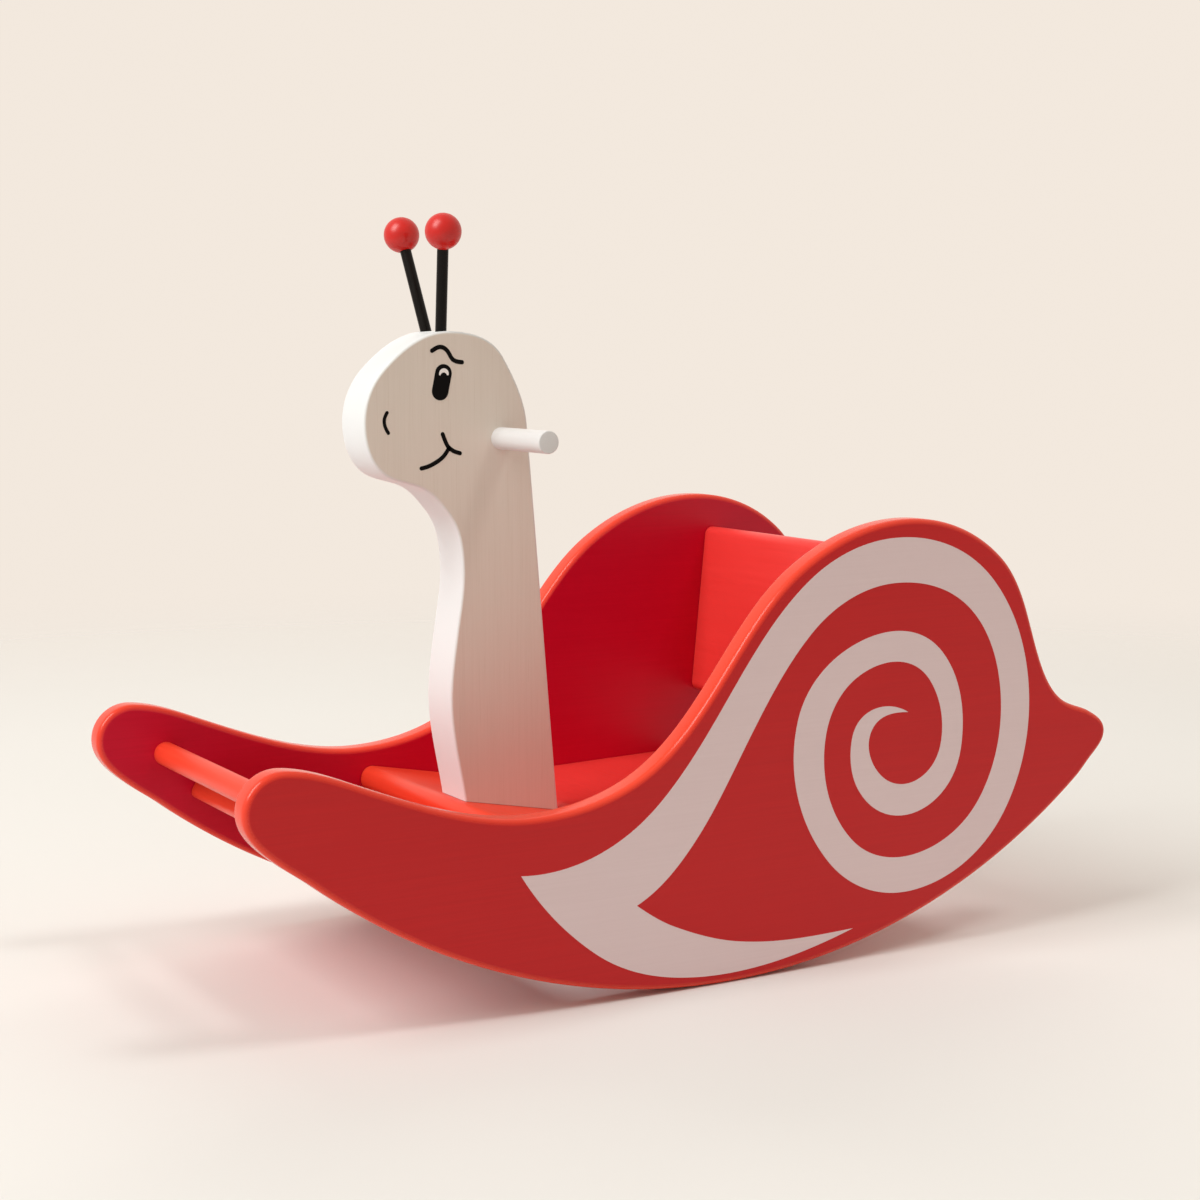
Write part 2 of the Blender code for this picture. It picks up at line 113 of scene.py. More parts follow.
# Spiral on the side panels: outer edge and inner edge of the painted band (x mm, z mm, heading degrees)
SPIRAL_BAND = (
    ((-201.0, 225.5, 30.5), (-201.0, 225.5, 6.0)),
    ((-137.0, 206.0, -79.5), (-160.0, 213.5, -57.5)),
    ((-145.5, 158.0, -123.5), (-168.0, 172.0, -133.0)),
    ((-263.5, 186.0, -261.0), (-239.5, 193.0, -259.0)),
    ((-238.5, 279.5, -313.5), (-226.0, 252.5, -306.0)),
    ((-133.0, 290.0, -384.5), (-141.5, 262.0, -390.5)),
    ((-77.0, 228.0, -435.5), (-108.0, 212.5, -439.5)),
    ((-113.5, 95.0, -492.0), (-139.0, 113.0, -495.5)),
    ((-209.0, 57.5, -544.5), (-211.0, 91.5, -547.5)),
    ((-320.0, 124.0, -599.0), (-289.0, 139.0, -597.5)),
    ((-345.0, 235.0, -635.0), (-310.5, 233.0, -635.5)),
    ((-298.0, 343.0, -673.5), (-273.0, 315.5, -677.0)),
    ((-179.5, 386.5, -723.0), (-183.5, 345.5, -721.5)),
    ((-90.0, 354.5, -756.5), (-91.5, 306.0, -764.0)),
    ((13.0, 233.0, -774.0), (-23.0, 213.5, -778.5)),
    ((67.5, 169.0, -763.0), (31.0, 131.5, -770.5)),
    ((202.5, 122.5, -714.0), (90.0, 82.5, -744.0)),
)
SPIRAL_SWEEP = (
    ((202.5, 122.5, -122.0), (90.0, 82.5, -143.5)),
    ((131.0, 46.0, -143.5), (51.0, 58.5, -156.0)),
    ((52.0, 13.5, -170.0), (-14.0, 36.5, -169.0)),
    ((-48.5, 11.5, -186.5), (-76.0, 30.0, -178.5)),
    ((-141.0, 30.7, -196.0), (-141.0, 30.7, -181.5)),
)

# Lines of the face (x mm, z mm, heading degrees), each with its width in mm
FACE_LINES = {
    "brow": (((197.7, 555.0, 150), (189.3, 558.2, 183), (181.4, 552.8, 238),
              (176.2, 546.4, 206), (168.6, 544.8, 184)), 3.9),
    "nostril": (((241.5, 501.7, -56), (244.3, 494.0, -91), (240.5, 484.1, -124)), 3.2),
    "cheek": (((188.1, 482.0, -112), (183.6, 472.0, -122),
               (178.4, 467.4, -148), (171.2, 464.8, -161)), 3.8),
    "mouth": (((182.4, 469.0, -56), (188.4, 461.6, -40), (198.4, 455.6, -25), (209.0, 452.5, -9)), 3.8),
    "eye": (((190.1, 519.7, 102), (186.8, 535.2, 102)), 16.2),
}

# Crescent in the eye: middle and radius in mm of its two arches, and the degrees at which they end
GLINT_MIDDLE = (186.4, 534.9)
GLINT_RADIUS = 4.7
GLINT_ARCH = (-18, 198)
PUPIL_MIDDLE = (186.6, 532.8)
PUPIL_RADIUS = 3.2
PUPIL_ARCH = (14, 166)

# Fineness of the surfaces, and the degrees from which an edge is shaded sharp
PANEL_STEPS = 200
PANEL_SLICES = 520
ROCKER_STEPS = 1200
HEAD_STEPS = 400
HEAD_SLICES = 168
NECK_SLICES = 132
BOARD_CORNER_STEPS = 10
BOARD_FLAT_STEPS = 12
ROD_SPANS = 12
BALL_RINGS = 48
PRINT_STEPS = 24
LINE_END_STEPS = 10
GLINT_POINTS = 40
FACE_STRIP = 0.0004
WELD_DECIMALS = 7
SHARP_ANGLE = 40.0


# Shapes

def smooth_run(anchors, steps):
    """Points and directions on cubic curves through anchors (x, z, heading in degrees).

    Both handles of a piece lie along the headings and are chord / (3 cos^2(turn / 4)) long.
    """
    table = np.array(anchors, float)
    spot = table[:, :2]
    heading = np.radians(table[:, 2])
    turn = (np.diff(heading) + np.pi) % (2 * np.pi) - np.pi
    reach = (np.hypot(*np.diff(spot, axis=0).T) / (3 * np.cos(turn / 4) ** 2))[:, None]
    along = np.stack([np.cos(heading), np.sin(heading)], axis=1)
    start, end = spot[:-1], spot[1:]
    first, second = start + reach * along[:-1], end - reach * along[1:]
    t = (np.arange(steps) / steps)[:, None, None]
    u = 1 - t
    curve = u**3 * start + 3 * u**2 * t * first + 3 * u * t**2 * second + t**3 * end
    slope = u**2 * (first - start) + 2 * u * t * (second - first) + t**2 * (end - second)
    points = np.vstack([curve.transpose(1, 0, 2).reshape(-1, 2), end[-1:]])
    slopes = np.vstack([slope.transpose(1, 0, 2).reshape(-1, 2), along[-1:]])
    return points, unit(slopes)


def unit(vectors):
    """Vectors of length one."""
    return vectors / np.linalg.norm(vectors, axis=-1, keepdims=True)


def outward(directions):
    """Normals to the right of a path that runs anticlockwise in X and Z."""
    return np.stack([directions[..., 1], -directions[..., 0]], axis=-1)


def at_x(points, directions, x):
    """Points and directions of a path at given x, for a path on which x only grows."""
    path_x = np.clip(np.maximum.accumulate(points[:, 0]), x[0], x[-1])
    spots = np.stack([x, np.interp(x, path_x, points[:, 1])], axis=1)
    aims = np.stack([np.interp(x, path_x, directions[:, axis]) for axis in (0, 1)], axis=1)
    spots[0], spots[-1] = points[0], points[-1]
    aims[0], aims[-1] = directions[0], directions[-1]
    return spots, unit(aims)


def evenly(points, directions, steps):
    """Points and directions of a path at equal steps of its length."""
    length = np.concatenate([[0.0], np.cumsum(np.hypot(*np.diff(points, axis=0).T))])
    wanted = np.linspace(0.0, length[-1], steps + 1)
    spots = np.stack([np.interp(wanted, length, points[:, axis]) for axis in (0, 1)], axis=1)
    aims = np.stack([np.interp(wanted, length, directions[:, axis]) for axis in (0, 1)], axis=1)
    return spots, unit(aims)


def panel_chains():
    """Upper and lower edge of a side panel, from the tail's tip to the nose's tip, as (points, inward).

    The rocking edge is the arc x = x0 + R sin a, z = R (1 - cos a). The slices lie close at both tips:
    x = middle - half cos(pi i / n).
    """
    front = math.asin((ROCKER_FRONT_X - ROCKER_LOWEST_X) / ROCKER_RADIUS)
    rear = math.asin((ROCKER_REAR_X - ROCKER_LOWEST_X) / ROCKER_RADIUS)
    front_z = ROCKER_RADIUS * (1 - math.cos(front))
    rear_z = ROCKER_RADIUS * (1 - math.cos(rear))
    nose_x, nose_z = ROCKER_FRONT_X + NOSE_REACH, front_z + NOSE_RISE
    tail_x, tail_z = ROCKER_REAR_X - TAIL_REACH, rear_z + TAIL_RISE
    top, top_aim = smooth_run([
        (nose_x, nose_z, 91.2),
        (nose_x - 0.036, nose_z + 0.032, 184.3),
        (nose_x - 0.107, nose_z + 0.010, 201.8),
        (*DIP, 178.2),
        (*SLOPE_FOOT, 146.5),
        (*SLOPE, 127.0),
        (HUMP[0] + 0.1225, HUMP[1] - 0.0405, 145.0),
        (*HUMP, 180.0),
        (HUMP[0] - 0.1105, HUMP[1] - 0.041, 222.4),
        (HUMP[0] - 0.1445, HUMP[1] - 0.0985, 250.3),
        (HUMP[0] - 0.161, HUMP[1] - 0.143, 246.5),
        (tail_x + 0.0487, tail_z + 0.0306, 205.2),
        (tail_x + 0.0195, tail_z + 0.0197, 207.4),
        (tail_x, tail_z, 266.1),
    ], PANEL_STEPS)
    heel, heel_aim = smooth_run([
        (tail_x, tail_z, 266.1),
        (tail_x + 0.019, tail_z - 0.028, 314.9),
        (ROCKER_REAR_X, rear_z, 360.0 + math.degrees(rear)),
    ], PANEL_STEPS)
    toe, toe_aim = smooth_run([
        (ROCKER_FRONT_X, front_z, math.degrees(front)),
        (nose_x - 0.030, nose_z - 0.043, 38.3),
        (nose_x, nose_z, 91.2),
    ], PANEL_STEPS)
    angle = np.linspace(rear, front, ROCKER_STEPS + 1)[1:-1]
    arc_x = ROCKER_LOWEST_X + ROCKER_RADIUS * np.sin(angle)
    arc_z = ROCKER_RADIUS * (1 - np.cos(angle))
    arc = np.stack([arc_x, arc_z], axis=1)
    arc_aim = np.stack([np.cos(angle), np.sin(angle)], axis=1)
    middle, half = (nose_x + tail_x) / 2, (nose_x - tail_x) / 2
    x = middle - half * np.cos(np.pi * np.arange(PANEL_SLICES + 1) / PANEL_SLICES)
    upper, upper_aim = at_x(top[::-1], top_aim[::-1], x)
    lower, lower_aim = at_x(np.vstack([heel, arc, toe]), np.vstack([heel_aim, arc_aim, toe_aim]), x)
    return (upper, -outward(upper_aim)), (lower, -outward(lower_aim))


def neck_chains():
    """Front and rear edge of the neck and head, from the foot to the crown, as (points, inward).

    The slices of the neck end at its throat, and those of the head start there. At the foot, inward runs
    along the foot, so that the foot stays flat.
    """
    foot_tilt = math.radians(NECK_FOOT_TILT)
    along_foot = np.array([math.cos(foot_tilt), math.sin(foot_tilt)])
    throat = [(0.0, 0.0, 81.0), (0.0135, 0.0975, 91.5), (0.007, 0.154, 98.5), (0.0005, 0.2085, 89.0)]
    face = [
        (0.0005, 0.2085, 89.0),
        (0.014, 0.2595, 51.0),
        (0.042, 0.2845, 21.5),
        (CROWN[0] + 0.065, CROWN[1] - 0.1225, 40.5),
        (CROWN[0] + 0.0815, CROWN[1] - 0.080, 89.5),
        (CROWN[0] + 0.0625, CROWN[1] - 0.033, 134.0),
        (*CROWN, 179.5),
    ]
    nape = [
        (*CROWN, 179.5),
        (CROWN[0] - 0.055, CROWN[1] - 0.0225, 238.5),
        (CROWN[0] - 0.079, CROWN[1] - 0.083, 264.8),
        (*(-NECK_FOOT_LENGTH * along_foot), 264.8),
    ]
    rear, rear_aim = (path[::-1] for path in smooth_run(nape, HEAD_STEPS))
    split = int(np.argmin(np.abs(rear[:, 1] - NECK_HEIGHT)))
    front = join_runs(evenly(*smooth_run(throat, HEAD_STEPS), NECK_SLICES),
                      evenly(*smooth_run(face, HEAD_STEPS), HEAD_SLICES))
    back = join_runs(evenly(rear[:split + 1], rear_aim[:split + 1], NECK_SLICES),
                     evenly(rear[split:], rear_aim[split:], HEAD_SLICES))
    chains = []
    for (points, aim), foot_inward in ((front, -along_foot), (back, along_foot)):
        inward = -outward(aim)
        inward[0] = foot_inward / abs(inward[0] @ foot_inward)
        chains.append((points + np.array(NECK_FOOT), inward))
    return chains


def join_runs(first, second):
    """One path from two that share a point."""
    return tuple(np.vstack([one, two[1:]]) for one, two in zip(first, second))


def board_chains(x, z, depth, tilt, rounding):
    """Upper and lower edge of a board's section, from its rear to its front, as (points, inward).

    The section is a rectangle whose corners are arcs of the rounding.
    """
    half_depth, half_thickness = depth / 2, BOARD_THICKNESS / 2
    flat = half_depth - rounding
    turn = np.linspace(0, np.pi / 2, BOARD_CORNER_STEPS + 1)
    rear_x = np.concatenate([[-half_depth], -flat - rounding * np.cos(turn)])
    rear_z = np.concatenate([[0.0], half_thickness - rounding + rounding * np.sin(turn)])
    rear_in = np.vstack([[1.0, 0.0], np.stack([np.cos(turn), -np.sin(turn)], axis=1)])
    middle_x = np.linspace(-flat, flat, BOARD_FLAT_STEPS + 1)[1:-1]
    middle_in = np.tile([0.0, -1.0], (len(middle_x), 1))
    section_x = np.concatenate([rear_x, middle_x, -rear_x[::-1]])
    section_z = np.concatenate([rear_z, np.full(len(middle_x), half_thickness), rear_z[::-1]])
    section_in = np.vstack([rear_in, middle_in, rear_in[::-1] * [-1, 1]])
    angle = math.radians(tilt)
    turned_by = np.array([[math.cos(angle), math.sin(angle)], [-math.sin(angle), math.cos(angle)]])
    chains = []
    for sign in (1, -1):
        points = np.stack([section_x, sign * section_z], axis=1) @ turned_by + [x, z]
        chains.append((points, (section_in * [1, sign]) @ turned_by))
    return chains


def rounded_edge(half, rounding, steps=8):
    """Insets, depths and rim share across a rounded edge.

    At turn f, the inset is r (1 - sin f) and the depth half - r (1 - cos f). The rim share is
    1 - (1 - sin f)^2: none on the two faces, whole on the narrow side between them. It places the painted
    light of rims and narrow sides, and the smoother rims. A narrow strip beside the rounding keeps the
    shading of the faces flat.
    """
    turn = np.linspace(0, np.pi / 2, steps + 1)
    inset = np.concatenate([[rounding + FACE_STRIP], rounding * (1 - np.sin(turn))])
    depth = np.concatenate([[half], half - rounding * (1 - np.cos(turn))])
    share = np.concatenate([[0.0], 1 - (1 - np.sin(turn)) ** 2])
    halves = ((inset, inset[::-1]), (depth, -depth[::-1]), (share, share[::-1]))
    return tuple(np.concatenate(pair) for pair in halves)


def square_edge(half):
    """Insets, depths and rim share across a square edge."""
    return np.zeros(2), np.array([half, -half]), np.zeros(2)


def plank(first, second, edge, middle_y=0.0, fill=6, capped=False):
    """A flat body between two chains of matched points, as points, triangles and rim share.

    Slice i is a closed loop: down the edge at the first chain, over the far face in equal steps, up the
    edge at the second chain and back over the near face. A cap closes the first slice.
    """
    inset, depth, rim = edge
    side_one = first[0][:, None] + inset[:, None] * first[1][:, None]
    side_two = second[0][:, None] + inset[:, None] * second[1][:, None]
    share = (np.arange(1, fill) / fill)[:, None]
    far = side_one[:, -1:] * (1 - share) + side_two[:, -1:] * share
    near = side_two[:, :1] * (1 - share) + side_one[:, :1] * share
    flat = np.concatenate([side_one, far, side_two[:, ::-1], near], axis=1)
    far_y, near_y = np.full(fill - 1, depth[-1]), np.full(fill - 1, depth[0])
    y = np.concatenate([depth, far_y, depth[::-1], near_y]) + middle_y
    rims = np.concatenate([rim, np.zeros(fill - 1), rim[::-1], np.zeros(fill - 1)])
    slices, loop = flat.shape[:2]
    points = np.stack([flat[..., 0], np.broadcast_to(y, (slices, loop)), flat[..., 1]], axis=-1)
    quads = grid_quads(slices, loop, True)
    points, rims = points.reshape(-1, 3), np.tile(rims, slices)
    if capped:
        share = (np.arange(fill + 1) / fill)[None, :, None]
        rows = side_one[0][:, None] * (1 - share) + side_two[0][:, None] * share
        cap_y = np.broadcast_to(depth[:, None] + middle_y, rows.shape[:2])
        cap = np.stack([rows[..., 0], cap_y, rows[..., 1]], axis=-1)
        quads = np.vstack([quads, grid_quads(len(depth), fill + 1, False)[:, ::-1] + len(points)])
        points = np.vstack([points, cap.reshape(-1, 3)])
        rims = np.concatenate([rims, np.repeat(rim, fill + 1)])
    return welded(points, quads, rims)


def grid_quads(rows, columns, closed):
    """Corners of the faces of a grid, whose rows may be closed loops."""
    row = np.arange(rows - 1)[:, None]
    column = np.arange(columns if closed else columns - 1)[None]
    beside = (column + 1) % columns
    low, high = row * columns, (row + 1) * columns
    return np.stack([low + column, low + beside, high + beside, high + column], axis=-1).reshape(-1, 4)


def welded(points, quads, rims=None):
    """Points merged where they meet, faces as triangles that point outwards, and the rim share."""
    near = np.round(points, WELD_DECIMALS)
    _, kept, place = np.unique(near, axis=0, return_index=True, return_inverse=True)
    quads = place.reshape(-1)[quads]
    triangles = np.vstack([quads[:, [0, 1, 2]], quads[:, [0, 2, 3]]])
    one, two, three = triangles.T
    triangles = triangles[(one != two) & (two != three) & (three != one)]
    points = points[kept]
    corner = points[triangles]
    volume = np.einsum("ij,ij->i", corner[:, 0], np.cross(corner[:, 1], corner[:, 2])).sum()
    if volume < 0:
        triangles = triangles[:, ::-1]
    return points, triangles, np.zeros(len(points)) if rims is None else rims[kept]


def turned(profile, start, direction, sides=72):
    """A profile (radius, length) carried round an axis.

    At angle a, a point is start + length axis + radius (cos a u + sin a v), with u and v across the axis.
    """
    axis = unit(np.array(direction, float))
    u = unit(np.cross(axis, [1.0, 0.0, 0.0]))
    v = np.cross(axis, u)
    radius, length = np.array(profile, float).T
    angle = 2 * np.pi * np.arange(sides) / sides
    ring = np.cos(angle)[:, None] * u + np.sin(angle)[:, None] * v
    points = np.array(start, float) + length[:, None, None] * axis + radius[:, None, None] * ring
    return welded(points.reshape(-1, 3), grid_quads(len(radius), sides, True))


def rod_profile(radius, length, rounding, steps):
    """Half section of a round rod with rounded ends."""
    turn = np.linspace(0, np.pi / 2, steps + 1)
    end = np.stack([radius - rounding + rounding * np.sin(turn), rounding * (1 - np.cos(turn))], axis=1)
    between = np.linspace(rounding, length - rounding, ROD_SPANS + 1)[1:-1]
    body = np.stack([np.full(ROD_SPANS - 1, radius), between], axis=1)
    other = end[::-1] * [1, -1] + [0, length]
    return np.vstack([[0, 0], end, body, other, [0, length]])


def cross_rod(place, radius, length, rounding, steps):
    """A round rod across the toy, with its middle at a place."""
    start = np.array(place) - [0, length / 2, 0]
    return turned(rod_profile(radius, length, rounding, steps), start, (0, 1, 0))


def ball_profile():
    """Half section of a ball, from the bottom of its rod hole to its top: R sin a, -R cos a."""
    mouth = math.asin(BALL_HOLE_RADIUS / BALL_RADIUS)
    angle = np.linspace(mouth, np.pi, BALL_RINGS + 1)
    skin = np.stack([BALL_RADIUS * np.sin(angle), -BALL_RADIUS * np.cos(angle)], axis=1)
    hole_end = BALL_SEAT - BALL_RADIUS
    skin[-1, 0] = 0.0
    return np.vstack([[0, hole_end], [BALL_HOLE_RADIUS, hole_end], skin])


def spiral_edges():
    """Both edges of the spiral, from its inner tip through the front tip to the rear tip."""
    edges = []
    for edge in (0, 1):
        band, _ = smooth_run([station[edge] for station in SPIRAL_BAND], PRINT_STEPS)
        sweep, _ = smooth_run([station[edge] for station in SPIRAL_SWEEP], PRINT_STEPS)
        edges.append(np.vstack([band, sweep[1:]]) * MM)
    return edges


def line_edges(anchors, width):
    """Both edges of a drawn line with round ends, whose half width near an end is h sin a at h cos a."""
    middle, aim = smooth_run([(x * MM, z * MM, heading) for x, z, heading in anchors], PRINT_STEPS)
    half = width * MM / 2
    turn = np.linspace(0, np.pi / 2, LINE_END_STEPS, endpoint=False)[:, None]
    start = middle[0] - half * np.cos(turn) * aim[0]
    end = (middle[-1] + half * np.cos(turn) * aim[-1])[::-1]
    path = np.vstack([start, middle, end])
    aims = np.vstack([np.tile(aim[0], (LINE_END_STEPS, 1)), aim, np.tile(aim[-1], (LINE_END_STEPS, 1))])
    halves = np.vstack([half * np.sin(turn), np.full((len(middle), 1), half), half * np.sin(turn)[::-1]])
    return path + halves * outward(aims), path - halves * outward(aims)


def glint_edges():
    """Both edges of the bright crescent in the eye: an arch, and the arch of the pupil below it."""
    edges = []
    for middle, radius, arch in ((GLINT_MIDDLE, GLINT_RADIUS, GLINT_ARCH),
                                 (PUPIL_MIDDLE, PUPIL_RADIUS, PUPIL_ARCH)):
        angle = np.radians(np.linspace(*arch, GLINT_POINTS))
        edge = np.array(middle) + radius * np.stack([np.cos(angle), np.sin(angle)], axis=1)
        edges.append(edge * MM)
    return edges


def printed(edges, wood_y, sign, lift=PRINT_LIFT):
    """A thin closed sheet of colour between two matched edges, on a face at wood_y."""
    low, high = wood_y - PRINT_SINK, wood_y + lift
    still = np.zeros_like(edges[0])
    first, second = ((edge, still) for edge in edges)
    return plank(first, second, square_edge((high - low) / 2), sign * (high + low) / 2, fill=4, capped=True)


# Materials

# Noises: cells a metre across the grain and along it, detail, roughness
PAINT_STREAKS = (420.0, 9.0, 5.0, 0.60)
PAINT_BANDS = (38.0, 2.2, 3.0, 0.50)
PAINT_CLOUDS = (7.0, 7.0, 2.0, 0.50)
PAINT_SKIN = (900.0, 900.0, 2.0, 0.50)
STAIN_PORES = (900.0, 14.0, 6.0, 0.65)
STAIN_STREAKS = (330.0, 6.0, 4.0, 0.60)
STAIN_BANDS = (45.0, 1.6, 3.0, 0.50)
LACQUER_CLOUDS = (60.0, 90.0, 3.0, 0.50)
LACQUER_RIPPLE = (260.0, 260.0, 2.0, 0.50)
BEECH_STREAKS = (500.0, 30.0, 5.0, 0.60)
BEECH_FLECKS = (1400.0, 260.0, 2.0, 0.50)
ZINC_CLOUDS = (300.0, 300.0, 4.0, 0.60)
ZINC_MARKS = (200.0, 5000.0, 3.0, 0.50)
FLOOR_CLOUDS = (1.2, 1.2, 2.0, 0.50)

# Ranges of noises and shares that are spread over other values
WHOLE = (0.0, 1.0)
NOISE_RANGE = (0.3, 0.7)
PORE_RANGE = (0.30, 0.44)
FLECK_RANGE = (0.58, 0.72)

# Largest shares of what is mixed into a colour
PAINT_BAND_SHARE = 0.45
PAINT_CLOUD_SHARE = 0.30
STAIN_BAND_SHARE = 0.55
STAIN_PORE_SHARE = 0.40
STAIN_EDGE_LIGHT_SHARE = 0.9
BEECH_FLECK_SHARE = 0.6

# Depths of the relief
PAINT_GRAIN_DEPTH = 0.00006
PAINT_SKIN_DEPTH = 0.00002
PRINT_GRAIN_DEPTH = 0.00004
INK_GRAIN_DEPTH = 0.00003
STAIN_STREAK_DEPTH = 0.00004
STAIN_PORE_DEPTH = 0.00003
LACQUER_RIPPLE_DEPTH = 0.000012
BEECH_GRAIN_DEPTH = 0.00008
ZINC_MARK_DEPTH = 0.00002

# Gloss, and roughness as a range or as a spread on both sides of a middle
PLAIN_GLOSS = 0.5
WOOD_GLOSS = 0.35
LACQUER_GLOSS = 0.55
FLOOR_GLOSS = 0.1
PAINT_SPREAD = 0.05
LACQUER_SPREAD = 0.03
STAIN_ROUGHNESS = (0.56, 0.44)
BEECH_ROUGHNESS = (0.58, 0.72)
ZINC_ROUGHNESS = (0.28, 0.46)
FLOOR_ROUGHNESS = 0.9
RIM_SMOOTHNESS = 0.55

# Colours, as a darker and a lighter tone
PANEL_TONES = ((0.510, 0.0042, 0.0058), (0.570, 0.0070, 0.0084))
# Painted shade: a deeper crimson on the panels' inner faces, for the red light that bounces between them.
INNER_SHADE_TONES = ((0.520, 0.0006, 0.0235), (0.580, 0.0016, 0.0300))
# Painted light: the seat and bar tones are lit, more orange copies of the red paint, and the panel tones
# are its shaded copy.
SEAT_LIT_TONES = ((0.795, 0.0425, 0.0375), (0.855, 0.0530, 0.0475))
BAR_LIT_TONES = ((0.755, 0.0450, 0.0185), (0.815, 0.0590, 0.0250))
BALL_TONES = ((0.545, 0.0035, 0.0012), (0.625, 0.0065, 0.0025))
BLACK_TONES = ((0.0035, 0.0028, 0.0024), (0.0075, 0.0058, 0.0048))
PRINT_TONES = ((0.740, 0.592, 0.604), (0.772, 0.625, 0.638))
INK_TONES = ((0.0020, 0.0018, 0.0018), (0.0045, 0.0040, 0.0040))
GLINT_TONES = ((0.900, 0.880, 0.870), (0.940, 0.920, 0.910))
HANDLE_TONES = ((0.690, 0.692, 0.700), (0.725, 0.728, 0.736))
BEECH_TONES = ((0.52, 0.33, 0.18), (0.68, 0.47, 0.29))
ZINC_TONES = ((0.52, 0.53, 0.55), (0.68, 0.68, 0.67))
# The head's faces carry a warm, shaded copy of the stain, and its narrow sides a paler, cooler lit copy:
# painted shade and light.
HEAD_DARK = (0.738, 0.668, 0.595)
HEAD_LIGHT = (0.778, 0.708, 0.640)
HEAD_PORE = (0.655, 0.568, 0.482)
HEAD_EDGE_LIT_TONE = (0.776, 0.815, 0.843)
BEECH_FLECK = (0.33, 0.18, 0.09)


def new_material(name, gloss=PLAIN_GLOSS):
    """A material with its node tree and main shader."""
    material = bpy.data.materials.new(name)
    material.use_nodes = True
    tree = material.node_tree
    shader = tree.nodes["Principled BSDF"]
    shader.inputs["Specular IOR Level"].default_value = gloss
    return material, tree, shader


def join_looks(tree, shader, base, roughness, relief):
    """Joins colour, roughness and relief to the main shader."""
    for name, source in (("Base Color", base), ("Roughness", roughness), ("Normal", relief)):
        tree.links.new(source, shader.inputs[name])


def noise(tree, pattern, along="Z"):
    """Noise on the object's own place, whose grain runs along one axis."""
    across, lengthwise, detail, roughness = pattern
    place = tree.nodes.new("ShaderNodeTexCoord")
    mapping = tree.nodes.new("ShaderNodeMapping")
    mapping.inputs["Scale"].default_value = [lengthwise if axis == along else across for axis in "XYZ"]
    texture = tree.nodes.new("ShaderNodeTexNoise")
    texture.inputs["Scale"].default_value = 1.0
    texture.inputs["Detail"].default_value = detail
    texture.inputs["Roughness"].default_value = roughness
    tree.links.new(place.outputs["Object"], mapping.inputs["Vector"])
    tree.links.new(mapping.outputs["Vector"], texture.inputs["Vector"])
    return texture.outputs["Fac"]


def ranged(tree, value, target, source=NOISE_RANGE):
    """A value of the source range spread over the target range."""
    spread = tree.nodes.new("ShaderNodeMapRange")
    for name, bound in zip(("From Min", "From Max", "To Min", "To Max"), (*source, *target)):
        spread.inputs[name].default_value = bound
    tree.links.new(value, spread.inputs["Value"])
    return spread.outputs["Result"]


def mixed(tree, share, one, two):
    """Two colours mixed by a share. Each is a colour or a socket."""
    mix = tree.nodes.new("ShaderNodeMix")
    mix.data_type = "RGBA"
    tree.links.new(share, mix.inputs["Factor"])
    for socket, colour in ((mix.inputs["A"], one), (mix.inputs["B"], two)):
        if isinstance(colour, tuple):
            socket.default_value = (*colour, 1.0)
        else:
            tree.links.new(colour, socket)
    return mix.outputs["Result"]


def blended(tree, pattern, most, one, two):
    """Two colours mixed by a noise, which brings in the second up to a largest share."""
    return mixed(tree, ranged(tree, pattern, (0.0, most)), one, two)


def bumped(tree, height, depth, under=None):
    """A relief of so many metres at full height, on another one or on the bare surface."""
    bump = tree.nodes.new("ShaderNodeBump")
    bump.inputs["Distance"].default_value = depth
    bump.inputs["Strength"].default_value = 1.0
    tree.links.new(height, bump.inputs["Height"])
    if under is not None:
        tree.links.new(under, bump.inputs["Normal"])
    return bump.outputs["Normal"]


def worked_out(tree, operation, *values):
    """The result of one arithmetic step on sockets."""
    node = tree.nodes.new("ShaderNodeMath")
    node.operation = operation
    for value, socket in zip(values, node.inputs):
        tree.links.new(value, socket)
    return node.outputs["Value"]


def rim_share(tree):
    """The rim share that a piece's points carry."""
    rim = tree.nodes.new("ShaderNodeAttribute")
    rim.attribute_name = "rim"
    return rim.outputs["Fac"]


# Mask of the painted shade on the panels' inner faces.
def outer_share(tree):
    """Share that grows from 0 at a side panel's inner face to 1 at its outer one, with the distance |y|."""
    place = tree.nodes.new("ShaderNodeTexCoord")
    split = tree.nodes.new("ShaderNodeSeparateXYZ")
    tree.links.new(place.outputs["Object"], split.inputs["Vector"])
    distance = worked_out(tree, "ABSOLUTE", split.outputs["Y"])
    return ranged(tree, distance, WHOLE, (PANEL_INNER_Y, PANEL_OUTER_Y))


